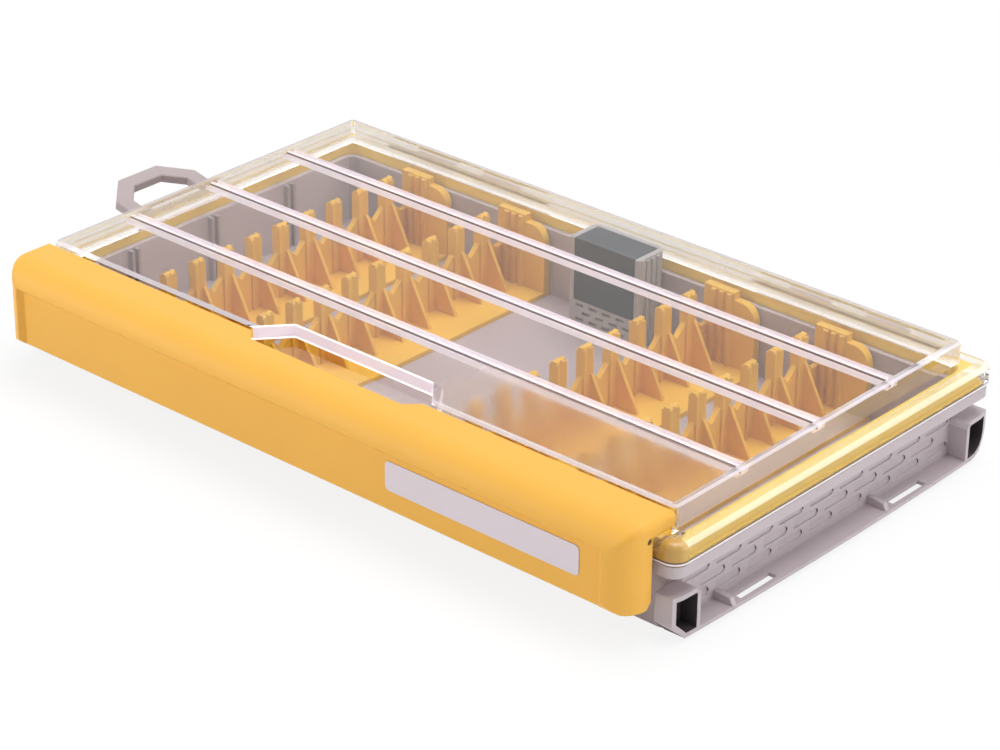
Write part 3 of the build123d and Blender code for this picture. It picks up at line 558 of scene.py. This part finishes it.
# ---- floor, lights and camera

stageLook = {"floor": (250, 250, 250), "floorSize": 12, "floorGlow": 0.85, "world": 0.31}


def seenDirectly(tree):        # 1 where the camera, gloss or clear plastic sees it, 0 after light has been scattered
    rays = tree.nodes.new('ShaderNodeLightPath')
    seen = addMath(tree, 'ADD', rays.outputs['Is Camera Ray'], rays.outputs['Is Glossy Ray'], True)
    seen = addMath(tree, 'ADD', seen, rays.outputs['Is Transmission Ray'], True)
    return addMath(tree, 'MULTIPLY', seen, addMath(tree, 'SUBTRACT', 1.0, rays.outputs['Diffuse Depth'], True))


def makeFloor():
    bpy.ops.mesh.primitive_plane_add(size=stageLook["floorSize"], location=(0, 0, cadLow.z - 0.0002))
    floor = bpy.context.object
    floor.name = "paleFloor"
    material = bpy.data.materials.new("paleFloor")
    material.use_nodes = True
    tree = material.node_tree
    shader = tree.nodes['Principled BSDF']
    shader.inputs['Base Color'].default_value = toLinear(stageLook["floor"])
    shader.inputs['Roughness'].default_value = 0.9
    shader.inputs['Specular IOR Level'].default_value = 0.0
    glow = tree.nodes.new('ShaderNodeEmission')
    glow.inputs['Strength'].default_value = 1.0
    mixer = tree.nodes.new('ShaderNodeMixShader')
    tree.links.new(addMath(tree, 'MULTIPLY', seenDirectly(tree), stageLook["floorGlow"]), mixer.inputs[0])
    tree.links.new(shader.outputs[0], mixer.inputs[1])
    tree.links.new(glow.outputs[0], mixer.inputs[2])
    tree.links.new(mixer.outputs[0], tree.nodes['Material Output'].inputs['Surface'])
    floor.data.materials.append(material)


makeFloor()

lampLooks = [
    {"name": "overheadPanel", "place": (0.15, 0.25, 1.5), "size": (1.4, 1.0), "power": 18},
    {"name": "frontFill", "place": (-0.58, -0.62, 0.36), "size": (0.5, 0.4), "power": 2.4},
    {"name": "rightFill", "place": (1.5, 0.35, 0.7), "size": (1.0, 0.8), "power": 7},
]


def addLamp(look):
    place = Vector(look["place"])
    data = bpy.data.lights.new(look["name"], 'AREA')
    data.shape = 'RECTANGLE'
    data.size, data.size_y = look["size"]
    data.energy = look["power"]
    lamp = bpy.data.objects.new(look["name"], data)
    lamp.location = place
    lamp.rotation_euler = (-place).to_track_quat('-Z', 'Y').to_euler()
    bpy.context.scene.collection.objects.link(lamp)


for lampLook in lampLooks:
    addLamp(lampLook)

world = bpy.data.worlds.new("studio")
bpy.context.scene.world = world
world.use_nodes = True
worldTree = world.node_tree
background = worldTree.nodes['Background']
seenWorld = seenDirectly(worldTree)
strength = addMath(worldTree, 'MULTIPLY', seenWorld, 1.0 - stageLook["world"])
strength = addMath(worldTree, 'ADD', strength, stageLook["world"])
worldTree.links.new(strength, background.inputs['Strength'])
background.inputs['Color'].default_value = (1, 1, 1, 1)

viewLook = {"azimuth": 41.42, "elevation": 27.20, "roll": 0.54, "focal": 3260.85, "away": 1.02947,
            "right": -0.00209, "up": 0.02681, "height": 0.040}


def makeCamera(look):
    a, e, r = (math.radians(look[key]) for key in ("azimuth", "elevation", "roll"))
    back = Vector((math.sin(a) * math.cos(e), -math.cos(a) * math.cos(e), math.sin(e)))
    level = Vector((math.cos(a), math.sin(a), 0))
    rise = back.cross(level)
    right = math.cos(r) * level + math.sin(r) * rise
    up = math.cos(r) * rise - math.sin(r) * level
    eye = look["away"] * back - look["right"] * right - look["up"] * up + Vector((0, 0, look["height"]))
    data = bpy.data.cameras.new("camera")
    data.sensor_width = 36
    data.lens = look["focal"] / 1000 * 36
    data.clip_start = 0.05
    data.clip_end = 50
    camera = bpy.data.objects.new("camera", data)
    turn = Matrix((right, up, back)).transposed().to_4x4()
    camera.matrix_world = Matrix.Translation(eye) @ turn
    bpy.context.scene.collection.objects.link(camera)
    bpy.context.scene.camera = camera


makeCamera(viewLook)
bpy.context.scene.view_settings.view_transform = 'Standard'
print("jig box: floor, lamps and camera placed")
